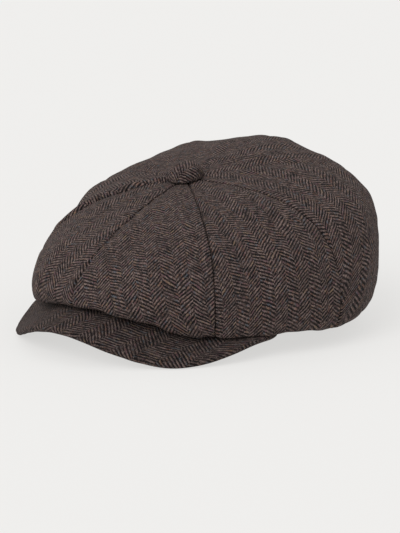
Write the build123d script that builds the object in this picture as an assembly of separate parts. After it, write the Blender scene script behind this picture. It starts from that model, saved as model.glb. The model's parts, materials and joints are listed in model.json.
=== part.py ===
from build123d import *
import os
from math import cos, hypot, pi, radians, sin, tan

# Newsboy cap: eight-panel gathered crown, stiffened band, stitched-over brim and a covered
# button on top. Millimetres, +Z up, the brim towards -Y, the wearer's left towards +X. The cap
# lies on a table at z = 0. Angles round the cap run from the front (-Y) towards +X. The shape
# is laid out about the middle of the head opening, HEAD_Y in front of which the frame's origin
# sits, so that the origin is below the middle of the whole cap.

# --- driving dimensions -------------------------------------------------------------------
HEAD_Y = 21.6              # middle of the head opening, from the frame's origin
HEAD_A, HEAD_B = 81.0, 103.0   # half width and half length of the head opening: a 58 cm head
PANELS = 8
FIT = 0.05                 # how closely the cloth surfaces follow their points
SEAM_GAP = 0.3             # from each panel edge to the middle of its seam
CLOTH = 1.4                # tweed with its fused interlining
LINING = 0.5
SWEATBAND = 1.0
INTERLINING = 0.8
BAND_CLOTH = 1.4
LAYER_GAP = 0.3            # between two layers of cloth that lie on each other
BAND_HEIGHT = 28.0

# Shape round the cap, each at 0, 45, 90, 135 and 180 degrees from the front.
RIM_R = (144.0, 129.0, 130.0, 132.5, 120.0)     # fullest radius of the crown
RIM_Z = (41.0, 36.0, 45.0, 70.0, 54.0)          # height of that fullest line
LOW_R = (139.0, 126.0, 121.0, 110.0, 113.0)     # where the crown turns under
LOW_Z = (36.0, 19.0, 20.0, 5.5, 5.5)
LOW_SLOPE = (0.34, 0.38, 0.05, 0.0, 0.0)        # rise of the underside towards the band
SHOULDER_Z = (62.5, 83.5, 104.5, 138.5, 174.0)  # pull of the shoulder above the rim
BAND_Z = (38.0, 22.0, 8.0, 1.0, 0.5)            # lower edge of the band
CROWN_FULLNESS = 0.5       # how far the flat top runs before it turns down
PUFF = 1.4                 # swell of each panel between its seams
PUFF_FULL_R = 70.0         # the swell grows from the button out to this radius

SEAT_Y, SEAT_Z = -19.7, 112.6   # button seat, on the crown's outer face
SEAT_TILT = radians(13.0)       # it leans to the front
TIP_R = 3.2                # panel tips stop this far from the button's axis
HEM_CLEAR = 1.0            # crown's lower edge outside the headband
HEM_TUCK = 1.5             # and below the band's top edge
LINING_INSET = 4.0         # lining inside the crown at its fullest line
LINING_RISE = 3.0          # and that much higher there
LINING_CLEAR = 1.0         # lining's lower edge outside the sweatband
LINING_OVER = 2.6          # and above the band's top edge

# Brim
BRIM_HALF_WIDTH = 108.3
BRIM_REACH = 105.8         # outline depth in front of BRIM_MID_Y
BRIM_MID_Y = -56.2
BRIM_POWER = 1.8           # superellipse exponent of the outline
BRIM_END = radians(72.0)   # where the outline meets the band, each side
BRIM_EDGE_Z = (22.5, -69.2, 61.0)   # edge height: a + b u^2 + c u^4, u across the half width
BOARD = 1.6
BRIM_CLOTH = 1.2
BRIM_GAP = 0.6             # between the board and each cover
BRIM_HEM = 2.2             # the covers reach this far beyond the board
BRIM_WRAP = 1.28           # outline's length: past 1 it runs back along the band
BRIM_INSET = 2.6           # board's edge inside the brim's outline
BRIM_ROOT_UP = 3.0         # brim's middle above the band's lower edge
BRIM_STATIONS = 48
BOARD_REACH = 0.97         # share of the outline that the board covers, round to the band

# Button
BUTTON_R, BUTTON_HEIGHT = 13.8, 11.2
BUTTON_CLOTH, BUTTON_SHELL = 0.9, 0.4
BUTTON_LIFT = 1.0          # underside of the button above the seat
PLATE_T = 0.8              # back plate, and the post's head
PLATE_Z = 0.9              # back plate above the button's underside
POST_R = 1.6
WASHER_R, WASHER_T = 8.0, 0.8
WASHER_DROP = 4.0          # top of the washer below the seat

# Care label
LABEL_W, LABEL_L, LABEL_T = 24.0, 19.0, 0.35
LABEL_DROP = 3.0           # its upper edge below the band's top edge
LABEL_INSET = 1.6          # its middle inside the head opening


# --- shape helpers ------------------------------------------------------------------------
def around(values, angle):
    """Smooth left-right symmetric blend of values given at even steps from front to rear."""
    n = len(values) - 1

    def weight(i):
        return 0.5 if i in (0, n) else 1.0

    return sum(
        weight(k) * 2 / n * cos(k * angle)
        * sum(weight(j) * v * cos(pi * j * k / n) for j, v in enumerate(values))
        for k in range(n + 1)
    )


def bezier(points, t):
    """Point of a cubic at t."""
    w = ((1 - t) ** 3, 3 * t * (1 - t) ** 2, 3 * t * t * (1 - t), t ** 3)
    return tuple(sum(a * p[i] for a, p in zip(w, points)) for i in (0, 1))


def ellipse_radius(a, b, angle):
    """Radius of an ellipse with half width a and half length b, at an angle from the front."""
    return 1 / hypot(sin(angle) / a, cos(angle) / b)


def ellipse_point(offset, angle, z):
    """Point at an offset outside the head opening."""
    r = ellipse_radius(HEAD_A + offset, HEAD_B + offset, angle)
    return Vector(r * sin(angle), -r * cos(angle), z)


OUTER_OFFSET = SWEATBAND + INTERLINING + BAND_CLOTH + 2 * LAYER_GAP


def ray(angle, r):
    """Distance and unit direction from the button's axis to a radius r of the cap, in plan."""
    dx, dy = r * sin(angle), -r * cos(angle) - SEAT_Y
    length = hypot(dx, dy)
    return length, dx / length, dy / length


def crown_meridian(angle):
    """Three joined cubics (radius from the button, height): top, turn-under, underside."""
    length, _, uy = ray(angle, around(RIM_R, angle))
    rim, low = around(RIM_Z, angle), around(LOW_Z, angle)
    low_len = ray(angle, around(LOW_R, angle))[0]
    slope = around(LOW_SLOPE, angle)
    rise = tan(SEAT_TILT) * uy * CROWN_FULLNESS * length
    band_len = ray(angle, ellipse_radius(
        HEAD_A + OUTER_OFFSET, HEAD_B + OUTER_OFFSET, angle) + HEM_CLEAR)[0]
    band_top = around(BAND_Z, angle) + BAND_HEIGHT - HEM_TUCK
    turn, under = length - low_len, low_len - band_len
    return (
        ((0, SEAT_Z), (CROWN_FULLNESS * length, SEAT_Z + rise),
         (length, around(SHOULDER_Z, angle)), (length, rim)),
        ((length, rim), (length, rim - 0.6 * (rim - low)),
         (low_len + 0.6 * turn, low - 0.6 * turn * slope), (low_len, low)),
        ((low_len, low), (low_len - 0.5 * under, low + 0.5 * under * slope),
         (band_len + 0.02 * under, low + 0.45 * (band_top - low)), (band_len, band_top)),
    )


def lining_meridian(angle):
    """Two joined cubics: the lining lies inside the crown and drops to the band's top edge."""
    length, _, uy = ray(angle, around(RIM_R, angle))
    length -= LINING_INSET
    rim = around(RIM_Z, angle) + LINING_RISE
    rise = tan(SEAT_TILT) * uy * CROWN_FULLNESS * length
    inner = SWEATBAND + LAYER_GAP
    band_len = ray(angle, ellipse_radius(HEAD_A + inner, HEAD_B + inner, angle) + LINING_CLEAR)[0]
    band_top = around(BAND_Z, angle) + BAND_HEIGHT + LINING_OVER
    return (
        ((0, SEAT_Z - 2.7), (CROWN_FULLNESS * length, SEAT_Z - 2.9 + rise),
         (length, around(SHOULDER_Z, angle) - 5.0), (length, rim)),
        ((length, rim), (length, rim - 4.0),
         (band_len + 0.45 * (length - band_len), band_top + 0.2 * (rim - band_top) - 1.0),
         (band_len, band_top)),
    )


def meridian_frame(curves, angle, s):
    """Point, outward normal and radius of a meridian at an angle, at s = 0..len(curves)."""
    i = min(int(s), len(curves) - 1)
    r, z = bezier(curves[i], s - i)
    r1, z1 = bezier(curves[i], min(s - i + 1e-3, 1.0))
    r0, z0 = bezier(curves[i], max(s - i - 1e-3, 0.0))
    _, ux, uy = ray(angle, around(RIM_R, angle))
    dr, dz = r1 - r0, z1 - z0
    d = hypot(dr, dz)
    normal = Vector(-dz / d * ux, -dz / d * uy, dr / d)
    return Vector(ux * r, SEAT_Y + uy * r, z), normal, r


def shell_point(meridian, puff, start, span, v, s):
    """Point of a panel that runs from angle start over span, at v = 0..1 across it."""
    def base(angle):
        return meridian_frame(meridian(angle), angle, s)

    edge = start + span * v
    step = 1e-3
    width = (base(edge + step)[0] - base(edge - step)[0]).length / (2 * step)
    angle = edge + (1 - 2 * v) * SEAM_GAP / max(width, 0.1)
    point, normal, r = base(angle)
    fade = min(1.0, r / PUFF_FULL_R) ** 1.5 * min(1.0, max(0.0, (2.1 - s) / 0.7))
    return point + normal * (puff * fade * sin(pi * v) ** 0.9)


def grid_normal(rows, i, j):
    """Unit normal of a grid of points at one of them."""
    a = rows[min(i + 1, len(rows) - 1)][j] - rows[max(i - 1, 0)][j]
    b = rows[i][min(j + 1, len(rows[i]) - 1)] - rows[i][max(j - 1, 0)]
    return b.cross(a).normalized()


def sheet(rows, depth):
    """Cloth of one thickness between a grid of points and the same grid moved by depth."""
    far = [[p + grid_normal(rows, i, j) * depth for j, p in enumerate(row)]
           for i, row in enumerate(rows)]
    faces = [Face.make_surface_from_array_of_points(grid, FIT, min_deg=3, max_deg=3)
             for grid in (rows, far)]
    sides = [Face.make_surface_from_curves(a, b)
             for a, b in zip(faces[0].edges(), faces[1].edges())]
    return Solid(Shell(faces + sides))


def even_parameters(curves, count):
    """Parameters that cut a meridian into even lengths, from the panel's tip on."""
    dense = [len(curves) * i / 900 for i in range(901)]
    places = [bezier(curves[min(int(s), len(curves) - 1)], s - min(int(s), len(curves) - 1))
              for s in dense]
    first = next(i for i, p in enumerate(places) if p[0] >= TIP_R)
    run = [0.0]
    for p, q in zip(places[first:], places[first + 1:]):
        run.append(run[-1] + hypot(q[0] - p[0], q[1] - p[1]))
    cuts, k = [], 0
    for i in range(count + 1):
        target = run[-1] * i / count
        while k < len(run) - 2 and run[k + 1] < target:
            k += 1
        part = min(1.0, (target - run[k]) / (run[k + 1] - run[k]))
        cuts.append(dense[first + k] + part * (dense[1] - dense[0]))
    return cuts


def panel(meridian, puff, index, count, depth):
    """One of the eight panels, its tip cut off clear of the button's post."""
    span = 2 * pi / PANELS
    start = index * span
    return sheet([
        [shell_point(meridian, puff, start, span, v / 10, s)
         for s in even_parameters(meridian(start + span * v / 10), count)]
        for v in range(11)
    ], depth)


def band_ring(offset, thickness, drop, height):
    """A strip round the head opening, cut to the slant and curve of the band's lower edge."""
    wall = extrude(Ellipse(HEAD_A + offset + thickness, HEAD_B + offset + thickness)
                   - Ellipse(HEAD_A + offset, HEAD_B + offset), 120)
    ends = 1.08 * HEAD_B
    low = [(-ends, BAND_Z[0] + 1.2), *[(-HEAD_B * cos(a), around(BAND_Z, a))
                                     for a in (pi * i / 8 for i in range(9))], (ends, BAND_Z[-1])]
    low = Spline([(y, z + drop) for y, z in low])
    high = Pos(0, height) * low
    side = make_face([low, high, Line(low @ 0, high @ 0), Line(low @ 1, high @ 1)])
    return wall & extrude(Plane.YZ * side, 100, both=True)


# --- brim ---------------------------------------------------------------------------------
def brim_edge(t):
    """Outline of the brim's board, t = -1..1 from the wearer's right to left."""
    side = 1 if t >= 0 else -1
    turn = abs(t) * BRIM_WRAP * pi / 2
    if turn <= pi / 2:
        x = BRIM_HALF_WIDTH * sin(turn) ** (2 / BRIM_POWER)
        y = BRIM_MID_Y - BRIM_REACH * max(cos(turn), 0.0) ** (2 / BRIM_POWER)
        u = x / BRIM_HALF_WIDTH
        z = BRIM_EDGE_Z[0] + BRIM_EDGE_Z[1] * u * u + BRIM_EDGE_Z[2] * u ** 4
    else:
        f = (turn - pi / 2) / ((BRIM_WRAP - 1) * pi / 2)
        end = ellipse_point(OUTER_OFFSET + 5.5, BRIM_END, 0)
        x = end.X + (BRIM_HALF_WIDTH - end.X) * max(cos(f * pi / 2), 0.0) ** 0.9
        y = BRIM_MID_Y + (end.Y - BRIM_MID_Y) * sin(f * pi / 2)
        z = sum(BRIM_EDGE_Z) + (around(BAND_Z, BRIM_END) + 1.0 - sum(BRIM_EDGE_Z)) * f
    x -= BRIM_INSET * min(1.0, abs(t) * BRIM_WRAP)
    return Vector(side * x, y + BRIM_INSET * (1 - t * t), z)


def brim_root(t):
    """The brim's inner line along the lower edge of the band."""
    angle = BRIM_END * t
    return ellipse_point(OUTER_OFFSET + 1.0, angle, around(BAND_Z, angle) + BRIM_ROOT_UP)


def brim_normal(t):
    """Unit normal of the brim across the line from its root to its edge."""
    along = brim_root(min(1.0, t + 1e-3)) - brim_root(max(-1.0, t - 1e-3))
    return (brim_edge(t) - brim_root(t)).cross(along).normalized()


def brim_layer(low, high, margin, reach=1.0):
    """A layer between two heights above the brim's middle surface, ruled from root to edge."""
    parameters = [i / BRIM_STATIONS for i in range(BRIM_STATIONS + 1)]
    stations = [reach * (0.65 * (2 * q - 1) - 0.35 * cos(pi * q)) for q in parameters]
    lines = {}
    for height in (low, high):
        for at_edge in (0, 1):
            points = []
            for t in stations:
                root, edge, normal = brim_root(t), brim_edge(t), brim_normal(t)
                points.append(
                    edge + (edge - root).normalized() * margin + normal * height if at_edge
                    else root + Vector(0, 0, height / normal.Z))
            lines[height, at_edge] = Edge.make_spline(points, parameters=parameters)
    corners = ((low, 0), (low, 1), (high, 1), (high, 0))
    faces = [Face.make_surface_from_curves(lines[a], lines[b])
             for a, b in zip(corners, corners[1:] + corners[:1])]
    for end in (0, 1):
        at = [lines[c] @ end for c in corners]
        faces.append(Face.make_surface_from_curves(
            Edge.make_line(at[0], at[1]), Edge.make_line(at[3], at[2])))
    return Solid(Shell(faces))


# --- button -------------------------------------------------------------------------------
def dome(radius, height, thickness):
    """Hollow dome standing on z = 0, open below."""
    def cap(r, h):
        ball = (r * r + h * h) / (2 * h)
        return Pos(0, 0, h - ball) * Sphere(ball) & Pos(0, 0, h) * Cylinder(
            r + 1, 2 * h, align=(Align.CENTER, Align.CENTER, Align.CENTER))

    return cap(radius, height) - cap(radius - thickness, height - thickness)


seat = Plane(origin=(0, SEAT_Y, SEAT_Z), x_dir=(1, 0, 0),
             z_dir=(0, -sin(SEAT_TILT), cos(SEAT_TILT)))


# --- build --------------------------------------------------------------------------------
NAMES = ("front_left", "front_side_left", "rear_side_left", "rear_left",
         "rear_right", "rear_side_right", "front_side_right", "front_right")
pieces = {}
for index, name in enumerate(NAMES):
    pieces["crown_panel_" + name] = panel(crown_meridian, PUFF, index, 48, -CLOTH)
    pieces["lining_panel_" + name] = panel(lining_meridian, 0.0, index, 40, -LINING)

pieces["sweatband"] = band_ring(0.0, SWEATBAND, 0.5, BAND_HEIGHT - 1.5)
pieces["band_interlining"] = band_ring(
    SWEATBAND + LAYER_GAP, INTERLINING, 1.5, BAND_HEIGHT - 3.0)
pieces["headband"] = band_ring(
    SWEATBAND + INTERLINING + 2 * LAYER_GAP, BAND_CLOTH, 0.0, BAND_HEIGHT)

half = BOARD / 2 + BRIM_GAP
pieces["brim_board"] = brim_layer(-BOARD / 2, BOARD / 2, 0.0, BOARD_REACH)
pieces["brim_top_cover"] = brim_layer(half, half + BRIM_CLOTH, BRIM_HEM)
pieces["brim_under_cover"] = brim_layer(-half - BRIM_CLOTH, -half, BRIM_HEM)

# Button: a metal dome under cloth that is turned in below it, a back plate with the post,
# and the washer inside the cap that holds the post.
base = (Align.CENTER, Align.CENTER, Align.MIN)
shell_r = BUTTON_R - BUTTON_CLOTH
turned_in = Cylinder(BUTTON_R - 0.6, 0.8, align=base) - Cylinder(BUTTON_R - 3.5, 0.8, align=base)
washer_z = -WASHER_DROP - BUTTON_LIFT - WASHER_T
post_low = washer_z - 0.9
button = {
    "button_cover": dome(BUTTON_R, BUTTON_HEIGHT, BUTTON_CLOTH) + turned_in,
    "button_shell": Pos(0, 0, PLATE_Z) * dome(
        shell_r - 1.0, BUTTON_HEIGHT - BUTTON_CLOTH - PLATE_Z - 0.1, BUTTON_SHELL),
    "button_post": Pos(0, 0, PLATE_Z) * Cylinder(shell_r - 2.7, PLATE_T, align=base)
    + Pos(0, 0, post_low) * Cylinder(POST_R, PLATE_Z - post_low + 0.2, align=base)
    + Pos(0, 0, post_low) * Cylinder(POST_R + 1.2, PLATE_T, align=base),
    "button_washer": Pos(0, 0, washer_z) * (
        Cylinder(WASHER_R, WASHER_T, align=base) - Cylinder(POST_R + 0.05, WASHER_T, align=base)),
}
for name, piece in button.items():
    pieces[name] = seat * Pos(0, 0, BUTTON_LIFT) * piece

# Care label: hangs by its upper edge from the rear of the sweatband, on its inner side.
pieces["care_label"] = Pos(
    0, HEAD_B - LABEL_INSET, BAND_Z[-1] + BAND_HEIGHT - LABEL_DROP - LABEL_L / 2
) * Box(LABEL_W, LABEL_T, LABEL_L)

os.makedirs("parts", exist_ok=True)
for name, piece in pieces.items():
    export_step(Pos(0, HEAD_Y, 0) * piece, "parts/" + name + ".step")
    box = piece.bounding_box()
    print(name, piece.is_valid, len(piece.solids()), round(piece.volume),
          [round(x, 1) for x in box.min], [round(x, 1) for x in box.max])
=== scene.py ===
import json
from math import cos, hypot, pi, radians, sin, sqrt

import bpy
import numpy as np
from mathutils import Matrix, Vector


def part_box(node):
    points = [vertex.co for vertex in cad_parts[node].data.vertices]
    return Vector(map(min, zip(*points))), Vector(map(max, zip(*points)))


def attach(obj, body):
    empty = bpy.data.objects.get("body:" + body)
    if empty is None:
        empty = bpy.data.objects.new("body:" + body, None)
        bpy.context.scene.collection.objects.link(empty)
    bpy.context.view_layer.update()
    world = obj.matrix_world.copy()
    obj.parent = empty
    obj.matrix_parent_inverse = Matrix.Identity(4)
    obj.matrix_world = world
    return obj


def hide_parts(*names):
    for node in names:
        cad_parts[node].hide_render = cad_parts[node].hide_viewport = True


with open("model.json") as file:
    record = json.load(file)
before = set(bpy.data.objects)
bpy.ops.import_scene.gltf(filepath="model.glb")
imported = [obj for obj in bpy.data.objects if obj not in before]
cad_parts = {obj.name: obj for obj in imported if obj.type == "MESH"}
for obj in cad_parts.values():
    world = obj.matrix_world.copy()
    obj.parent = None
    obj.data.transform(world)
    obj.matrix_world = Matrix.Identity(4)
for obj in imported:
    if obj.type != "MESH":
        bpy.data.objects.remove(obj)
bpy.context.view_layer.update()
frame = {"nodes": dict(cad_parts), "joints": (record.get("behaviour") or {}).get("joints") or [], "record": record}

MM = 0.001
joints = {j["name"]: j for j in frame["joints"]}
opening = next(m for m in frame["record"]["mounts"] if m["name"] == "head_opening")
HEAD_Y = opening["pos_m"][1] / MM
BUTTON_JOINT = joints["button_turn"]
SEAT_Y = BUTTON_JOINT["pos_m"][1] / MM - HEAD_Y
SEAT_Z = BUTTON_JOINT["pos_m"][2] / MM
SEAT_UP = Vector(BUTTON_JOINT["axis"]).normalized()
SEAT_SLOPE = -SEAT_UP.y / SEAT_UP.z

# --- shape of the cap, as in the CAD ------------------------------------------------------
HEAD_A, HEAD_B = 81.0, 103.0
PANELS = 8
CLOTH, LINING = 1.4, 0.5
SWEATBAND, INTERLINING, BAND_CLOTH, LAYER_GAP = 1.0, 0.8, 1.4, 0.3
OUTER_OFFSET = SWEATBAND + INTERLINING + BAND_CLOTH + 2 * LAYER_GAP
BAND_HEIGHT = 28.0
RIM_R = (144.0, 129.0, 130.0, 132.5, 120.0)
RIM_Z = (41.0, 36.0, 45.0, 70.0, 54.0)
LOW_R = (139.0, 126.0, 121.0, 110.0, 113.0)
LOW_Z = (36.0, 19.0, 20.0, 5.5, 5.5)
LOW_SLOPE = (0.34, 0.38, 0.05, 0.0, 0.0)
SHOULDER_Z = (62.5, 83.5, 104.5, 138.5, 174.0)
BAND_Z = (38.0, 22.0, 8.0, 1.0, 0.5)
CROWN_FULLNESS = 0.5
HEM_CLEAR, HEM_TUCK = 1.0, 1.5          # the crown's hem: off the band, and below its top edge
LINING_INSET, LINING_RISE = 4.0, 3.0    # the lining's widest line: inside the crown's, and above it
LINING_CLEAR, LINING_OVER = 1.0, 2.6    # the lining's hem: off the sweatband, and above the band
PUFF = 1.4
TIP_R = 3.2
BRIM_HALF_WIDTH, BRIM_REACH, BRIM_MID_Y, BRIM_POWER = 108.3, 105.8, -56.2, 1.8
BRIM_END = radians(72.0)
BRIM_EDGE_Z = (22.5, -69.2, 61.0)
BRIM_THICK = 5.2
BRIM_WRAP = 1.28            # how far the brim's outline runs on behind its widest point, times 90 degrees
BRIM_END_OUT = 5.5          # how far its ends stand off the headband
BRIM_INSET = 2.6            # its seam lies this far inside the outline
BRIM_ROOT_OUT, BRIM_ROOT_UP = 1.0, 3.0
BRIM_GRAIN = radians(-14)   # turn of the brim cloth's weave


def around(values, angle):
    """Smooth left-right symmetric blend of values given at even steps from front to rear."""
    n = len(values) - 1
    half = [0.5 if i in (0, n) else 1.0 for i in range(n + 1)]
    return sum(
        half[k] * 2 / n * np.cos(k * np.asarray(angle, float))
        * sum(half[j] * v * cos(pi * j * k / n) for j, v in enumerate(values))
        for k in range(n + 1)
    )


def smooth(x):
    """Ease from 0 to 1 as x goes from 0 to 1."""
    x = np.clip(x, 0, 1)
    return x * x * (3 - 2 * x)


def ellipse_radius(offset, angle):
    """Radius of the oval that lies an offset outside the head opening."""
    return 1 / np.hypot(np.sin(angle) / (HEAD_A + offset), np.cos(angle) / (HEAD_B + offset))


def ray(angle, r):
    """Distance and direction in plan from the button's axis to a radius of the cap."""
    dx, dy = r * np.sin(angle), -r * np.cos(angle) - SEAT_Y
    length = np.hypot(dx, dy)
    return length, dx / length, dy / length


def cubic(p, t):
    """Cubics through four control points, each an (r, z) pair of arrays, at parameters t."""
    t = t[:, None]
    w = ((1 - t) ** 3, 3 * t * (1 - t) ** 2, 3 * t * t * (1 - t), t ** 3)
    return np.stack([sum(a * np.broadcast_to(q[i], p[3][i].shape) for a, q in zip(w, p))
                     for i in (0, 1)], -1)


def crown_curves(angle):
    """Three joined cubics (radius from the button, height): top, turn-under, underside."""
    length, _, uy = ray(angle, around(RIM_R, angle))
    rim, low = around(RIM_Z, angle), around(LOW_Z, angle)
    low_len = ray(angle, around(LOW_R, angle))[0]
    slope = around(LOW_SLOPE, angle)
    rise = SEAT_SLOPE * uy * CROWN_FULLNESS * length
    band_len = ray(angle, ellipse_radius(OUTER_OFFSET, angle) + HEM_CLEAR)[0]
    band_top = around(BAND_Z, angle) + BAND_HEIGHT - HEM_TUCK
    turn, under = length - low_len, low_len - band_len
    return (
        ((0.0, SEAT_Z), (CROWN_FULLNESS * length, SEAT_Z + rise),
         (length, around(SHOULDER_Z, angle)), (length, rim)),
        ((length, rim), (length, rim - 0.6 * (rim - low)),
         (low_len + 0.6 * turn, low - 0.6 * turn * slope), (low_len, low)),
        ((low_len, low), (low_len - 0.5 * under, low + 0.5 * under * slope),
         (band_len + 0.02 * under, low + 0.45 * (band_top - low)), (band_len, band_top)),
    )


def lining_curves(angle):
    """Two joined cubics: the lining lies inside the crown and drops to the band's top edge."""
    length, _, uy = ray(angle, around(RIM_R, angle))
    length = length - LINING_INSET
    rim = around(RIM_Z, angle) + LINING_RISE
    rise = SEAT_SLOPE * uy * CROWN_FULLNESS * length
    band_len = ray(angle, ellipse_radius(SWEATBAND + LAYER_GAP, angle) + LINING_CLEAR)[0]
    band_top = around(BAND_Z, angle) + BAND_HEIGHT + LINING_OVER
    return (
        ((0.0, SEAT_Z - 2.7), (CROWN_FULLNESS * length, SEAT_Z - 2.9 + rise),
         (length, around(SHOULDER_Z, angle) - 5.0), (length, rim)),
        ((length, rim), (length, rim - 4.0),
         (band_len + 0.45 * (length - band_len), band_top + 0.2 * (rim - band_top) - 1.0),
         (band_len, band_top)),
    )


# --- mesh making --------------------------------------------------------------------------
def grid_normals(p, closed=False):
    """Unit normals of a grid of points (rows, columns, 3); closed joins last column to first."""
    a = np.gradient(p, axis=0)
    if closed:
        b = (np.roll(p, -1, 1) - np.roll(p, 1, 1)) / 2
    else:
        b = np.gradient(p, axis=1)
    n = np.cross(a, b)
    return n / np.maximum(np.linalg.norm(n, axis=-1, keepdims=True), 1e-9)


def make_object(name, points, faces, uvs, material, body, replaces=()):
    """Mesh object from points in millimetres about the head opening, riding on a CAD body."""
    mesh = bpy.data.meshes.new(name)
    place = (np.asarray(points).reshape(-1, 3) + (0, HEAD_Y, 0)) * MM
    mesh.from_pydata(place.tolist(), [], faces)
    layer = mesh.uv_layers.new(name="weave")
    loops = np.zeros(len(mesh.loops), np.int32)
    mesh.loops.foreach_get("vertex_index", loops)
    layer.data.foreach_set("uv", np.asarray(uvs).reshape(-1, 2)[loops].ravel().astype(np.float32))
    mesh.shade_smooth()
    mesh.set_sharp_from_angle(angle=radians(50))
    mesh.materials.append(material)
    obj = bpy.data.objects.new(name, mesh)
    bpy.context.scene.collection.objects.link(obj)
    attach(obj, body)
    if replaces:
        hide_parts(*replaces)
    return obj


def shell_faces(rows, cols, closed=False):
    """Faces of an outer and an inner grid of points joined round their borders."""
    n = rows * cols
    faces = []
    for i in range(rows - 1):
        for j in range(cols if closed else cols - 1):
            k = (j + 1) % cols
            a, b, c, d = i * cols + j, i * cols + k, (i + 1) * cols + k, (i + 1) * cols + j
            faces += [(a, b, c, d), (a + n, d + n, c + n, b + n)]
    for j in range(cols if closed else cols - 1):
        k = (j + 1) % cols
        faces.append((j, j + n, k + n, k))
        e = (rows - 1) * cols
        faces.append((e + j, e + k, e + k + n, e + j + n))
    if not closed:
        for i in range(rows - 1):
            a, d = i * cols, (i + 1) * cols
            faces.append((a, d, d + n, a + n))
            faces.append((a + cols - 1, a + cols - 1 + n, d + cols - 1 + n, d + cols - 1))
    return faces


def cloth(name, p, uv, thickness, material, body, replaces=(), closed=False, flip=False):
    """A sheet of cloth: a grid of points as its face, and its thickness behind it."""
    n = grid_normals(p, closed) * (-1 if flip else 1)
    both = np.concatenate([p.reshape(-1, 3), (p - n * thickness).reshape(-1, 3)])
    faces = shell_faces(p.shape[0], p.shape[1], closed)
    if not flip:
        faces = [f[::-1] for f in faces]
    return make_object(name, both, faces, np.concatenate([uv.reshape(-1, 2)] * 2),
                       material, body, replaces)


def ripple(p, wavelengths, waves, seed):
    """Random smooth unevenness of about unit size, from a sum of plane waves."""
    r = np.random.default_rng(seed)
    total = np.zeros(p.shape[:-1])
    for _ in range(waves):
        d = r.normal(size=3)
        d *= 2 * pi / r.uniform(*wavelengths) / np.linalg.norm(d)
        total += np.sin(p @ d + r.uniform(0, 2 * pi))
    return total / sqrt(waves / 2)


# --- materials ----------------------------------------------------------------------------
class Nodes:
    """Short names for the nodes of one material."""

    def __init__(self, name, roughness):
        self.material = bpy.data.materials.new(name)
        self.material.use_nodes = True
        self.tree = self.material.node_tree
        self.shader = self.tree.nodes["Principled BSDF"]
        self.shader.inputs["Roughness"].default_value = roughness

    def node(self, kind, inputs=None, **settings):
        node = self.tree.nodes.new(kind)
        for key, value in settings.items():
            setattr(node, key, value)
        for key, value in (inputs or {}).items():
            self.feed(node.inputs[key], value)
        return node

    def feed(self, socket, value):
        if isinstance(value, bpy.types.NodeSocket):
            self.tree.links.new(value, socket)
        else:
            socket.default_value = value

    def math(self, operation, a, b=0.0, c=0.0):
        return self.node("ShaderNodeMath", {0: a, 1: b, 2: c}, operation=operation).outputs[0]

    def mix(self, factor, a, b):
        node = self.node("ShaderNodeMix", data_type="RGBA")
        for socket, value in zip((node.inputs[0], node.inputs[6], node.inputs[7]), (factor, a, b)):
            self.feed(socket, value)
        return node.outputs[2]

    def noise(self, vector, scale, detail=2.0, rough=0.5):
        return self.node("ShaderNodeTexNoise", {
            "Vector": vector, "Scale": scale, "Detail": detail, "Roughness": rough}).outputs[0]

    def vector(self, x, y, z=0.0):
        return self.node("ShaderNodeCombineXYZ", {0: x, 1: y, 2: z}).outputs[0]

    def weave(self):
        uv = self.node("ShaderNodeUVMap", uv_map="weave").outputs[0]
        parts = self.node("ShaderNodeSeparateXYZ", {0: uv})
        return uv, parts.outputs[0], parts.outputs[1]

    def step(self, value, low, high):
        return self.node("ShaderNodeMapRange", {
            0: value, 1: low, 2: high, 3: 0.0, 4: 1.0}, interpolation_type="SMOOTHSTEP").outputs[0]

    def bump(self, height, distance, strength=1.0):
        node = self.node("ShaderNodeBump", {
            "Height": height, "Distance": distance, "Strength": strength})
        self.tree.links.new(node.outputs[0], self.shader.inputs["Normal"])

    def color(self, value):
        self.feed(self.shader.inputs["Base Color"], value)


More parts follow.
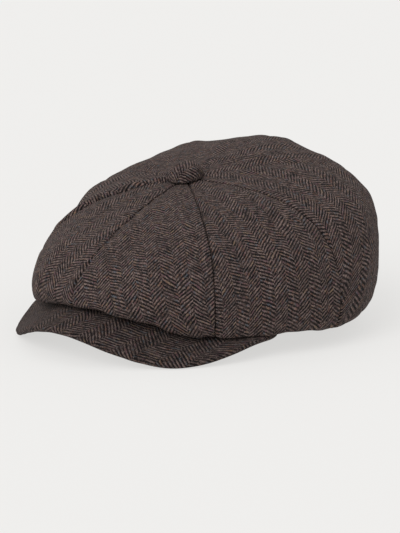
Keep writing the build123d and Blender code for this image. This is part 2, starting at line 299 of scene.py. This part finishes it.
def tweed(name, shade=1.0):
    """Herringbone wool: chevrons of light and dark ribs, mixed yarn colours and loose fibres."""
    stripe, pitch, slope = 9.6, 2.75, 0.74
    n = Nodes(name, 0.95)
    uv, u, v = n.weave()
    sway = n.math("MULTIPLY_ADD", n.noise(uv, 0.045, 1.0), 4.0, -2.0)
    sway_v = n.math("MULTIPLY_ADD", n.noise(n.vector(v, u), 0.06, 1.0), 4.0, -2.0)
    fray = n.math("MULTIPLY_ADD", n.noise(uv, 0.9, 2.0), 1.5, -0.75)
    u = n.math("ADD", u, sway)
    v = n.math("ADD", n.math("ADD", v, sway_v), fray)
    across = n.math("PINGPONG", u, stripe)
    side = n.math("FLOOR", n.math("DIVIDE", u, stripe))
    breaks = n.math("MULTIPLY", n.math("MODULO", n.math("ADD", side, 1000.0), 2.0), pitch / 2)
    phase = n.math("DIVIDE", n.math("MULTIPLY_ADD", across, slope, n.math("ADD", v, breaks)), pitch)
    rib = n.math("MULTIPLY_ADD", n.math("SINE", n.math("MULTIPLY", phase, 2 * pi)), 0.5, 0.5)
    yarn = n.math("MULTIPLY_ADD", n.math("SINE", n.math("MULTIPLY", u, 2 * pi / 1.15)), 0.5, 0.5)
    along_rib = n.vector(n.math("MULTIPLY", across, 0.45), n.math("MULTIPLY", phase, 1.6), side)

    # shade scales every yarn colour: the crown's own tone, and in the band and brim copies painted shade as well.
    def tone(r, g, b):
        return (r * shade, g * shade, b * shade, 1.0)

    slub = n.step(n.noise(along_rib, 1.0, 3.0, 0.65), 0.36, 0.66)
    grain = n.noise(uv, 2.2, 3.0, 0.75)
    mottle = n.step(n.noise(uv, 0.17, 3.0, 0.6), 0.34, 0.66)
    taupe = n.mix(slub, tone(0.042, 0.031, 0.030), tone(0.240, 0.174, 0.157))
    dark = n.mix(mottle, tone(0.0055, 0.0050, 0.0060), tone(0.022, 0.0145, 0.0135))
    for seed, low, tint, strength in ((11.0, 0.56, (0.185, 0.085, 0.055), 0.60),
                                      (47.0, 0.58, (0.235, 0.165, 0.105), 0.75),
                                      (83.0, 0.57, (0.085, 0.100, 0.118), 0.85),
                                      (29.0, 0.56, (0.128, 0.066, 0.078), 0.80)):
        spot = n.noise(n.vector(n.math("MULTIPLY", across, 0.30),
                                n.math("ADD", n.math("MULTIPLY", phase, 0.9), seed), side), 1.0, 2.0, 0.6)
        taupe = n.mix(n.math("MULTIPLY", n.step(spot, low, low + 0.09), strength), taupe, tone(*tint))
    cover = n.math("MULTIPLY_ADD", yarn, 0.16, n.math("MULTIPLY_ADD", grain, 1.7, -0.93))
    cover = n.math("ADD", cover, n.math("MULTIPLY_ADD", mottle, 0.22, -0.11))
    patch = n.step(n.noise(uv, 0.05, 2.0, 0.6), 0.36, 0.62)
    relief = n.math("MULTIPLY", n.math("MULTIPLY_ADD", patch, 0.70, 0.48), n.math("ADD", rib, -0.5))
    color = n.mix(n.step(n.math("ADD", n.math("ADD", relief, 0.5), cover), 0.31, 0.80), dark, taupe)
    fleck = n.noise(n.vector(n.math("MULTIPLY", u, 0.8), n.math("MULTIPLY", v, 0.6), 5.0), 1.3, 1.0)
    color = n.mix(n.math("MULTIPLY", n.step(fleck, 0.68, 0.74), 0.7), color, tone(0.30, 0.23, 0.20))
    n.color(color)
    n.shader.inputs["Sheen Weight"].default_value = 0.06
    n.shader.inputs["Sheen Roughness"].default_value = 0.5
    n.shader.inputs["Sheen Tint"].default_value = (0.62, 0.52, 0.46, 1.0)
    n.shader.inputs["Specular IOR Level"].default_value = 0.12
    height = n.math("ADD", n.math("MULTIPLY", rib, 0.55), n.math("MULTIPLY", yarn, 0.15))
    n.bump(n.math("MULTIPLY_ADD", grain, 0.9, height), 0.0006, 0.9)
    return n.material


def fine_cloth(name, color, pitch, roughness, relief, sheen=0.0, diagonal=1.0):
    """Plain or satin cloth: fine slanting threads, slight unevenness of tone."""
    n = Nodes(name, roughness)
    uv, u, v = n.weave()
    slant = n.math("MULTIPLY_ADD", u, diagonal, v)
    thread = n.math("MULTIPLY_ADD", n.math("SINE", n.math("MULTIPLY", slant, 2 * pi / pitch)), 0.5, 0.5)
    cross = n.math("MULTIPLY_ADD", n.math("SINE", n.math("MULTIPLY", u, 2 * pi / pitch)), 0.5, 0.5)
    mottle = n.noise(uv, 0.12, 3.0)
    light = tuple(min(1.0, c * 1.35) for c in color) + (1.0,)
    dark = tuple(c * 0.62 for c in color) + (1.0,)
    tone = n.math("ADD", n.math("MULTIPLY", thread, 0.6), n.math("MULTIPLY", mottle, 0.45))
    n.color(n.mix(tone, dark, light))
    n.shader.inputs["Sheen Weight"].default_value = sheen
    n.bump(n.math("MULTIPLY_ADD", cross, 0.4, thread), relief * MM, 0.6)
    return n.material


def solid_grain(name, color, roughness, metallic, scale, relief):
    """Board or pressed metal: fine grain over one colour."""
    n = Nodes(name, roughness)
    place = n.node("ShaderNodeTexCoord").outputs["Object"]
    grain = n.noise(place, scale, 4.0, 0.6)
    light = tuple(min(1.0, c * 1.15) for c in color) + (1.0,)
    dark = tuple(c * 0.8 for c in color) + (1.0,)
    n.color(n.mix(grain, dark, light))
    n.shader.inputs["Metallic"].default_value = metallic
    n.bump(grain, relief * MM, 0.4)
    return n.material


wool = tweed("herringbone_wool", 0.75)
# The band's copy of the same wool is darker than the crown's as painted shade, for the shade the band lies in
# under the crown.
wool_band_painted_shade = tweed("herringbone_wool_band_painted_shade", 0.60)
# The brim's copy of the same wool is darker still, as painted shade on the brim; the cloth itself is no darker
# than the crown's.
wool_brim_painted_shade = tweed("herringbone_wool_brim_painted_shade", 0.54)
satin = fine_cloth("lining_satin", (0.016, 0.015, 0.017), 0.9, 0.38, 0.05, 0.2, 0.5)
twill = fine_cloth("sweatband_twill", (0.030, 0.026, 0.026), 1.3, 0.75, 0.25, 0.3)
ribbon = fine_cloth("label_ribbon", (0.74, 0.73, 0.70), 0.5, 0.45, 0.06, 0.1, 0.0)
buckram = fine_cloth("buckram", (0.050, 0.046, 0.043), 1.6, 0.85, 0.3, 0.0, 0.0)
thread_dark = fine_cloth("sewing_thread", (0.035, 0.030, 0.029), 0.3, 0.6, 0.05, 0.2)
board = solid_grain("brim_board_plastic", (0.24, 0.24, 0.25), 0.6, 0.0, 400.0, 0.1)
metal = solid_grain("pressed_metal", (0.62, 0.62, 0.63), 0.35, 1.0, 900.0, 0.02)


# --- crown and lining ---------------------------------------------------------------------
def meridian_grid(curves, angle, rows, tip=TIP_R):
    """Points (r, z) at even lengths along the meridian of each angle, and their cubic's place."""
    t = np.linspace(0, 1, 121)
    pieces = curves(angle)
    dense = np.concatenate([cubic(p, t) for p in pieces])
    place = np.concatenate([i + t for i in range(len(pieces))])
    fractions = np.linspace(0, 1, rows)
    out, where, arc = np.zeros((rows, len(angle), 2)), np.zeros((rows, len(angle))), []
    for j in range(len(angle)):
        line = dense[:, j]
        keep = line[:, 0] >= tip
        keep[np.argmax(keep) - 1] = True
        line, s = line[keep], place[keep]
        run = np.concatenate([[0], np.cumsum(np.hypot(*np.diff(line, axis=0).T))])
        want = fractions * run[-1]
        out[:, j, 0], out[:, j, 1] = np.interp(want, run, line[:, 0]), np.interp(want, run, line[:, 1])
        where[:, j] = np.interp(want, run, s)
        arc.append(want)
    return out, where, np.array(arc).T


GRAIN = {0: -20.0, 2: 22.0, 3: 10.0}     # turn of a panel's weave from its middle line, in degrees


def panel_grid(curves, index, rows, cols):
    """Base grid of one panel: points, place on the meridian, distances and weave."""
    span = 2 * pi / PANELS
    v = 0.5 - 0.5 * np.cos(pi * np.linspace(0, 1, cols))
    angle = (index + v) * span
    rz, where, arc = meridian_grid(curves, angle, rows)
    _, ux, uy = ray(angle, around(RIM_R, angle))
    p = np.stack([ux * rz[..., 0], SEAT_Y + uy * rz[..., 0], rz[..., 1]], -1)
    width = np.concatenate([np.zeros((rows, 1)), np.cumsum(
        np.linalg.norm(np.diff(p, axis=1), axis=-1), axis=1)], axis=1)
    total = width[:, -1:]
    from_centre = width - total / 2
    middle = arc[:, cols // 2][:, None]
    reach = np.maximum(middle, 8.0)
    turn = from_centre / reach + radians(GRAIN.get(index, 0.0))
    weave = np.stack([reach * np.sin(turn), reach * np.cos(turn) + arc - middle], -1)
    return p, where, arc, width, total, weave, v


# A roll of cloth on one panel, behind the seam that runs forward on the wearer's right.
ROLL_PANEL, ROLL_HEIGHT, ROLL_FROM_SEAM, ROLL_WIDTH = 6, 2.9, 4.2, 3.0


def rolled_edge(arc, from_seam):
    """Height of that roll, which stands up near the button and dies away down the side."""
    along = smooth(arc / 18) * (1 - smooth((arc - 75) / 60))
    return ROLL_HEIGHT * along * np.exp(-((from_seam - ROLL_FROM_SEAM) / ROLL_WIDTH) ** 2)


# Slack in the cloth: middle (millimetres of the frame), reach and depth of each soft dent. Where
# the depth is negative the cloth stands up or hangs out instead.
DENTS = (((-102, -20, 84), 34, 5.0), ((-84, -72, 56), 25, 2.0), ((34, 110, 129), 27, 5.2),
         ((-26, 92, 133), 21, 4.4), ((-68, 84, 121), 12, -1.8), ((113, 20, 13), 40, -7.5))

# Depths at each seam, from the front one round by the wearer's left: its sharp crease, and the
# soft valley beside it.
SEAM_CREASE = (1.1, 1.5, 1.2, 0.12, 0.08, 0.10, 0.45, 1.0)
SEAM_VALLEY = (0.0, 0.0, 0.2, 0.4, 0.2, 0.3, 0.4, 0.0)
SEAM_DEEPENS = 130.0     # distance from the button where the flat rear seams start to deepen
SEAM_LOW_CREASE = 0.8    # the least crease below that
SEAM_GAP = 0.05          # half the slit left open at a crease 1 mm deep

# Heights of the cloth's unevenness: slow waves, small waves, puckers at the stitching, gathers.
WAVES, SMALL_WAVES, PUCKERS, GATHERS = 0.9, 0.22, 0.06, 0.55


def crown_panel(index, name):
    """One wedge of the crown, puffed and slack between its seams and gathered in below."""
    rows, cols = 150, 61
    p, where, arc, width, total, weave, v = panel_grid(crown_curves, index, rows, cols)
    n = grid_normals(p)
    left, right = width, total - width
    edge = np.minimum(left, right)
    fade = np.minimum(1, np.linalg.norm(p[..., :2] - (0, SEAT_Y), axis=-1) / 70) ** 1.5
    fade = fade * smooth((2.1 - where) / 0.7)
    top = smooth(arc / 25)
    lift = PUFF * fade * np.sin(pi * v)[None, :] ** 0.9
    lift += WAVES * ripple(p, (38, 90), 26, 3) * top * smooth(edge / 14)
    lift += SMALL_WAVES * ripple(p, (11, 24), 22, 5) * top
    # small puckers that the stitching pulls across each seam
    wave = np.sin(2 * pi * arc / 9.5 + 1.5 * ripple(p, (30, 60), 8, 20 + index))
    lift += PUCKERS * wave * np.exp(-edge / 5.0) * top
    # gathers on the underside, where the full crown is taken in to the band
    gather = smooth((where - 1.6) / 1.2)
    lift += GATHERS * gather * (1 - smooth((where - 2.75) / 0.25)) * np.sin(
        2 * pi * v[None, :] * total / 13.0 + 2.0 * ripple(p, (25, 60), 8, 60 + index))
    if index == ROLL_PANEL:
        lift += rolled_edge(arc, right)
    for middle, reach, deep in DENTS:
        gap = np.linalg.norm(p + (0, HEAD_Y, 0) - np.array(middle), axis=-1)
        lift -= deep * np.exp(-(gap / reach) ** 2)
    # the cloth dives into the seam
    for side, seam in ((left, index), (right, (index + 1) % PANELS)):
        down = smooth((arc - SEAM_DEEPENS) / 45)
        crease = SEAM_CREASE[seam] * (1 - down) + max(SEAM_CREASE[seam], SEAM_LOW_CREASE) * down
        crease = crease * (1 + 0.3 * ripple(p, (40, 90), 10, 140))
        lift -= crease * np.exp(-(side / 0.75) ** 2) * smooth(arc / 6) * (1 - 0.6 * gather)
        lift -= SEAM_VALLEY[seam] * np.exp(-(side / 5.0) ** 2) * smooth(arc / 20) * (1 - gather)
    p = p + n * lift[..., None]
    # a slit is left open at the deep seams
    across = p[:, 1:2] - p[:, 0:1]
    across /= np.linalg.norm(across, axis=-1, keepdims=True)
    p[:, :1] += SEAM_GAP * SEAM_CREASE[index] ** 2 * across
    p[:, -1:] -= SEAM_GAP * SEAM_CREASE[(index + 1) % PANELS] ** 2 * across
    weave = weave + np.array([198.0 * index, 196.0 * index])
    return cloth("crown_" + name, p, weave, CLOTH * 0.8, wool, "cap",
                 ("crown_panel_" + name,))


def lining_panel(index, name):
    """One wedge of the lining, hanging a little slack inside the crown."""
    rows, cols = 90, 33
    p, where, arc, width, total, weave, _ = panel_grid(lining_curves, index, rows, cols)
    n = grid_normals(p)
    edge = np.minimum(width, total - width)
    lift = 0.45 * ripple(p, (16, 45), 24, 90 + index) * smooth(edge / 8) * smooth(arc / 20)
    lift += 0.5 * np.exp(-(edge / 1.0) ** 2) * smooth(arc / 8)
    lift -= 0.6
    p = p + n * (lift * smooth((1.97 - where) / 0.3))[..., None] * 0.6
    weave = weave + np.array([100.0 * index, 60.0 * index])
    return cloth("lining_" + name, p, weave, LINING * 0.7, satin, "cap",
                 ("lining_panel_" + name,))


NAMES = ("front_left", "front_side_left", "rear_side_left", "rear_left",
         "rear_right", "rear_side_right", "front_side_right", "front_right")
for index, name in enumerate(NAMES):
    crown_panel(index, name)
    lining_panel(index, name)


# --- bands --------------------------------------------------------------------------------
def ring(name, offset, thickness, drop, height, material, node):
    """A strip round the head opening with rounded edges."""
    cols, side = 240, 9
    angle = np.linspace(-pi, pi, cols, endpoint=False)
    radius = thickness / 2
    turns = np.linspace(0, pi, 7)
    low = [(-radius * cos(a), -radius * sin(a)) for a in turns]
    high = [(radius * cos(a), radius * sin(a)) for a in turns]
    walls_out = [(radius, f) for f in np.linspace(0, 1, side)[1:-1]]
    walls_in = [(-radius, f) for f in np.linspace(1, 0, side)[1:-1]]
    section = ([(x, y, 0.0) for x, y in low] + [(x, 0.0, f) for x, f in walls_out]
               + [(x, y, 1.0) for x, y in high] + [(x, 0.0, f) for x, f in walls_in])
    bottom = around(BAND_Z, angle) + drop + radius
    p, uv = [], []
    run = np.concatenate([[0], np.cumsum(np.hypot(
        *np.diff(np.stack([ellipse_radius(offset, angle) * np.sin(angle),
                           ellipse_radius(offset, angle) * np.cos(angle)]), axis=1)))])
    for x, y, f in section:
        r = ellipse_radius(offset + radius, angle) + x
        z = bottom + y + f * (height - 2 * radius)
        p.append(np.stack([r * np.sin(angle), -r * np.cos(angle), z], -1))
        uv.append(np.stack([run, z + (40 if x < 0 else 0)], -1))
    p, uv = np.array(p), np.array(uv)
    rows = len(section)
    faces = []
    for i in range(rows):
        for j in range(cols):
            a, b = (i + 1) % rows, (j + 1) % cols
            faces.append((i * cols + j, i * cols + b, a * cols + b, a * cols + j))
    return make_object(name, p, faces, uv, material, "cap", (node,))


# The headband takes the copy of the wool darkened as painted shade.
ring("headband_cloth", SWEATBAND + INTERLINING + 2 * LAYER_GAP, BAND_CLOTH, 0.0, BAND_HEIGHT,
     wool_band_painted_shade, "headband")
ring("sweatband_cloth", 0.0, SWEATBAND, 0.5, BAND_HEIGHT - 1.5, twill, "sweatband")


def stitches(name, path, length, gap, radius, material, body):
    """A row of short thread stitches along a closed or open line of points with outward normals."""
    points, normals = path
    run = np.concatenate([[0], np.cumsum(np.linalg.norm(np.diff(points, axis=0), axis=1))])
    verts, faces, uvs = [], [], []
    ring_n, sections = 6, 5
    start = 0.0
    while start + length < run[-1]:
        for k in range(sections):
            s = start + length * k / (sections - 1)
            c = np.array([np.interp(s, run, points[:, i]) for i in range(3)])
            m = np.array([np.interp(s, run, normals[:, i]) for i in range(3)])
            ahead = np.array([np.interp(s + 0.3, run, points[:, i]) for i in range(3)]) - c
            ahead /= max(np.linalg.norm(ahead), 1e-9)
            side = np.cross(ahead, m)
            bow = sin(pi * k / (sections - 1))
            centre = c + m * (radius * (1.3 * bow - 0.6))
            thick = radius * (0.45 + 0.55 * bow)
            for q in range(ring_n):
                a = 2 * pi * q / ring_n
                verts.append(centre + thick * (cos(a) * m + sin(a) * side))
                uvs.append((s, q * 0.2))
        base = len(verts) - ring_n * sections
        for k in range(sections - 1):
            for q in range(ring_n):
                r = (q + 1) % ring_n
                a = base + k * ring_n
                faces.append((a + q, a + r, a + ring_n + r, a + ring_n + q))
        faces.append(tuple(base + q for q in reversed(range(ring_n))))
        faces.append(tuple(base + (sections - 1) * ring_n + q for q in range(ring_n)))
        start += length + gap
    return make_object(name, np.array(verts), faces, np.array(uvs), material, body)


def band_line(offset, height):
    """Points and inward normals of a line round the head opening, above its lower edge."""
    angle = np.linspace(-pi, pi, 721)
    r = ellipse_radius(offset, angle)
    p = np.stack([r * np.sin(angle), -r * np.cos(angle), around(BAND_Z, angle) + height], -1)
    return p, np.stack([-np.sin(angle), np.cos(angle), 0 * angle], -1)


STITCH, STITCH_GAP, THREAD_R = 2.6, 1.0, 0.22
for level, height in (("lower", 3.0), ("upper", BAND_HEIGHT - 4.0)):
    stitches("sweatband_" + level + "_stitching", band_line(0.0, height), STITCH, STITCH_GAP,
             THREAD_R, thread_dark, "cap")


# --- brim ---------------------------------------------------------------------------------
def brim_edge(t):
    """Outline of the brim's board, t = -1..1 from the wearer's right to left."""
    side, turn = (1 if t >= 0 else -1), abs(t) * BRIM_WRAP * pi / 2
    if turn <= pi / 2:
        x = BRIM_HALF_WIDTH * sin(turn) ** (2 / BRIM_POWER)
        y = BRIM_MID_Y - BRIM_REACH * max(cos(turn), 0.0) ** (2 / BRIM_POWER)
        u = x / BRIM_HALF_WIDTH
        z = BRIM_EDGE_Z[0] + BRIM_EDGE_Z[1] * u * u + BRIM_EDGE_Z[2] * u ** 4
    else:
        f = (turn - pi / 2) / ((BRIM_WRAP - 1) * pi / 2)
        r = float(ellipse_radius(OUTER_OFFSET + BRIM_END_OUT, BRIM_END))
        end = (r * sin(BRIM_END), -r * cos(BRIM_END))
        x = end[0] + (BRIM_HALF_WIDTH - end[0]) * max(cos(f * pi / 2), 0.0) ** 0.9
        y = BRIM_MID_Y + (end[1] - BRIM_MID_Y) * sin(f * pi / 2)
        z = sum(BRIM_EDGE_Z) + (float(around(BAND_Z, BRIM_END)) + 1.0 - sum(BRIM_EDGE_Z)) * f
    x -= BRIM_INSET * min(1.0, abs(t) * BRIM_WRAP)
    return np.array([side * x, y + BRIM_INSET * (1 - t * t), z])


def brim_root(t):
    """The brim's inner line along the lower edge of the band."""
    angle = BRIM_END * t
    r = float(ellipse_radius(OUTER_OFFSET + BRIM_ROOT_OUT, angle))
    return np.array([r * sin(angle), -r * cos(angle), float(around(BAND_Z, angle)) + BRIM_ROOT_UP])


def brim_cover(name, side, material, node):
    """Top (side 1) or under (side -1) cover, rounded over to the seam along the brim's edge."""
    stations = [0.65 * (i / 90 - 1) - 0.35 * cos(pi * i / 180) for i in range(181)]
    half = BRIM_THICK / 2
    p, uv = [], []
    for t in stations:
        root, edge = brim_root(t), brim_edge(t)
        along = brim_root(min(1.0, t + 1e-3)) - brim_root(max(-1.0, t - 1e-3))
        up = np.cross(edge - root, along)
        up /= np.linalg.norm(up)
        out = (edge - root) / np.linalg.norm(edge - root)
        row = []
        for w in np.linspace(0, 1, 26):
            rise = np.array([0, 0, half / up[2]]) * (1 - w) + up * half * w
            row.append(root + (edge - root) * w + side * rise)
        for k in range(1, 10):
            a = radians(90 - 92 * k / 9)
            row.append(edge + side * up * (half * sin(a)) + out * (half * cos(a)))
        row = np.array(row)
        p.append(row)
        run = np.concatenate([[0], np.cumsum(np.linalg.norm(np.diff(row, axis=0), axis=1))])
        uv.append(np.stack([root[0] * 0.35 + row[:, 0] * 0.65, run - root[1]], -1))
    p, uv = np.array(p), np.array(uv)
    uv = uv @ np.array([[cos(BRIM_GRAIN), sin(BRIM_GRAIN)], [-sin(BRIM_GRAIN), cos(BRIM_GRAIN)]])
    p = p + grid_normals(p) * (0.2 * ripple(p, (18, 45), 22, 200 + side))[..., None]
    uv = uv + np.array([720.0, 868.0]) * (1 if side > 0 else 2)
    return cloth(name, p, uv, 1.0, material, "cap", (node,), flip=side > 0)


# Both brim covers take the copy of the wool darkened as painted shade.
brim_cover("brim_top_cloth", 1, wool_brim_painted_shade, "brim_top_cover")
brim_cover("brim_under_cloth", -1, wool_brim_painted_shade, "brim_under_cover")


# --- button -------------------------------------------------------------------------------
BUTTON_R, BUTTON_HEIGHT, BUTTON_LIFT = 13.8, 11.2, 1.7
BUTTON_FULLNESS = 2.5      # superellipse exponent of its profile


def button():
    """Cloth-covered dome: slightly flattened, with pleats where the cloth is drawn under."""
    cols = 144
    turns = np.linspace(0, pi / 2, 26)
    profile = [(sin(a) ** (2 / BUTTON_FULLNESS), 0.04 + 0.96 * cos(a) ** (2 / BUTTON_FULLNESS))
               if a < pi / 2 - 1e-6 else (1.0, 0.04) for a in turns]
    profile += [(0.99, -0.02), (0.965, -0.055), (0.92, -0.07), (0.86, -0.05), (0.79, 0.0)]
    angle = np.linspace(0, 2 * pi, cols, endpoint=False)
    p, uv = [], []
    run, last = 0.0, profile[0]
    for r, z in profile:
        run += hypot((r - last[0]) * BUTTON_R, (z - last[1]) * BUTTON_HEIGHT)
        last = (r, z)
        pleat = 0.30 * smooth((run - 13) / 7) * np.sin(17 * angle + 0.8 * np.sin(3 * angle))
        lump = 0.25 * np.sin(2 * angle + 1.0) + 0.15 * np.sin(3 * angle + run / 5)
        rad = max(r, 1e-3) * (BUTTON_R - 0.3 + lump * min(1.0, run / 8)) + pleat * (r > 0.3)
        p.append(np.stack([rad * np.cos(angle), rad * np.sin(angle),
                           np.full(cols, z * BUTTON_HEIGHT + BUTTON_LIFT)], -1))
        uv.append(np.stack([run * np.cos(angle + 0.22), run * np.sin(angle + 0.22)], -1))
    p, uv = np.array(p), np.array(uv)
    turn = Vector((0, 0, 1)).rotation_difference(SEAT_UP).to_matrix()
    p = p @ np.array(turn).T + (0, SEAT_Y, SEAT_Z)
    return cloth("button_cloth", p, uv + 500.0, 0.7, wool, "button",
                 ("button_cover",), closed=True)


button()


# --- care label ---------------------------------------------------------------------------
def care_label():
    """Blank satin ribbon, gently bowed between its sewn edge and its cut end."""
    low, high = (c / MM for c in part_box("care_label"))
    width, length = high.x - low.x, high.z - low.z
    y = (low.y + high.y) / 2 - HEAD_Y
    rows, cols = 40, 25
    s, x = np.linspace(0, 1, rows)[:, None], np.linspace(-0.5, 0.5, cols)[None, :]
    p = np.stack([x * width + 0 * s, y - 0.5 * np.sin(pi * s) * (1 - 2 * x * x) + 0 * x,
                  high.z - s * length + 0 * x], -1)
    uv = np.stack([x * width + 0 * s, s * length + 0 * x], -1)
    return cloth("care_label_ribbon", p, uv, 0.25, ribbon, "care_label",
                 ("care_label",))


care_label()

for node, material in (("band_interlining", buckram), ("brim_board", board),
                       ("button_shell", metal), ("button_post", metal),
                       ("button_washer", metal)):
    obj = frame["nodes"][node]
    obj.data.materials.clear()
    obj.data.materials.append(material)


# --- stage, light and camera --------------------------------------------------------------
FLOOR_REACH = 14.0       # metres each way
FLOOR_GLOW = 0.634       # the pale table is lit from below, so it stays near white
ROOM_LIGHT = 0.82
KEY_LIGHT, KEY_SPREAD = 1.8, 40.0
KEY_DIRECTION = (-0.12, 0.90, -0.70)


def paper_floor():
    """Plain pale light table, far larger than the view."""
    reach = FLOOR_REACH
    mesh = bpy.data.meshes.new("floor")
    mesh.from_pydata([(-reach, -reach, 0), (reach, -reach, 0), (reach, reach, 0), (-reach, reach, 0)],
                     [], [(0, 1, 2, 3)])
    obj = bpy.data.objects.new("floor", mesh)
    bpy.context.scene.collection.objects.link(obj)
    material = bpy.data.materials.new("floor_paper")
    material.use_nodes = True
    shader = material.node_tree.nodes["Principled BSDF"]
    shader.inputs["Base Color"].default_value = (0.20, 0.198, 0.195, 1)
    shader.inputs["Emission Color"].default_value = (1.0, 0.992, 0.975, 1)
    shader.inputs["Emission Strength"].default_value = FLOOR_GLOW
    shader.inputs["Roughness"].default_value = 1.0
    shader.inputs["Specular IOR Level"].default_value = 0.0
    mesh.materials.append(material)


def soft_sun(name, direction, strength, spread):
    """Broad distant light that shines along a direction, its spread in degrees."""
    data = bpy.data.lights.new(name, "SUN")
    data.energy, data.angle = strength, radians(spread)
    obj = bpy.data.objects.new(name, data)
    bpy.context.scene.collection.objects.link(obj)
    obj.rotation_euler = Vector(direction).to_track_quat("-Z", "Y").to_euler()


AZIMUTH, ELEVATION, DISTANCE = radians(41.0), radians(13.0), 1.5
VIEW_WIDTH = 0.3077        # width of the picture at the cap
AIM = Vector((-0.0017, HEAD_Y * MM - 0.0015, 0.0412))
view_from = Vector((sin(AZIMUTH) * cos(ELEVATION), -cos(AZIMUTH) * cos(ELEVATION), sin(ELEVATION)))
camera_data = bpy.data.cameras.new("camera")
camera_data.sensor_fit = "HORIZONTAL"
camera_data.sensor_width = 36.0
camera_data.lens = 36.0 * DISTANCE / VIEW_WIDTH
camera = bpy.data.objects.new("camera", camera_data)
bpy.context.scene.collection.objects.link(camera)
camera.location = AIM + view_from * DISTANCE
camera.rotation_euler = (-view_from).to_track_quat("-Z", "Y").to_euler()
bpy.context.scene.camera = camera

paper_floor()
world = bpy.data.worlds.new("soft_room")
bpy.context.scene.world = world
world.use_nodes = True
world.node_tree.nodes["Background"].inputs[0].default_value = (1.0, 0.998, 0.995, 1)
world.node_tree.nodes["Background"].inputs[1].default_value = ROOM_LIGHT
soft_sun("key", KEY_DIRECTION, KEY_LIGHT, KEY_SPREAD)
bpy.context.scene.view_settings.view_transform = "Standard"
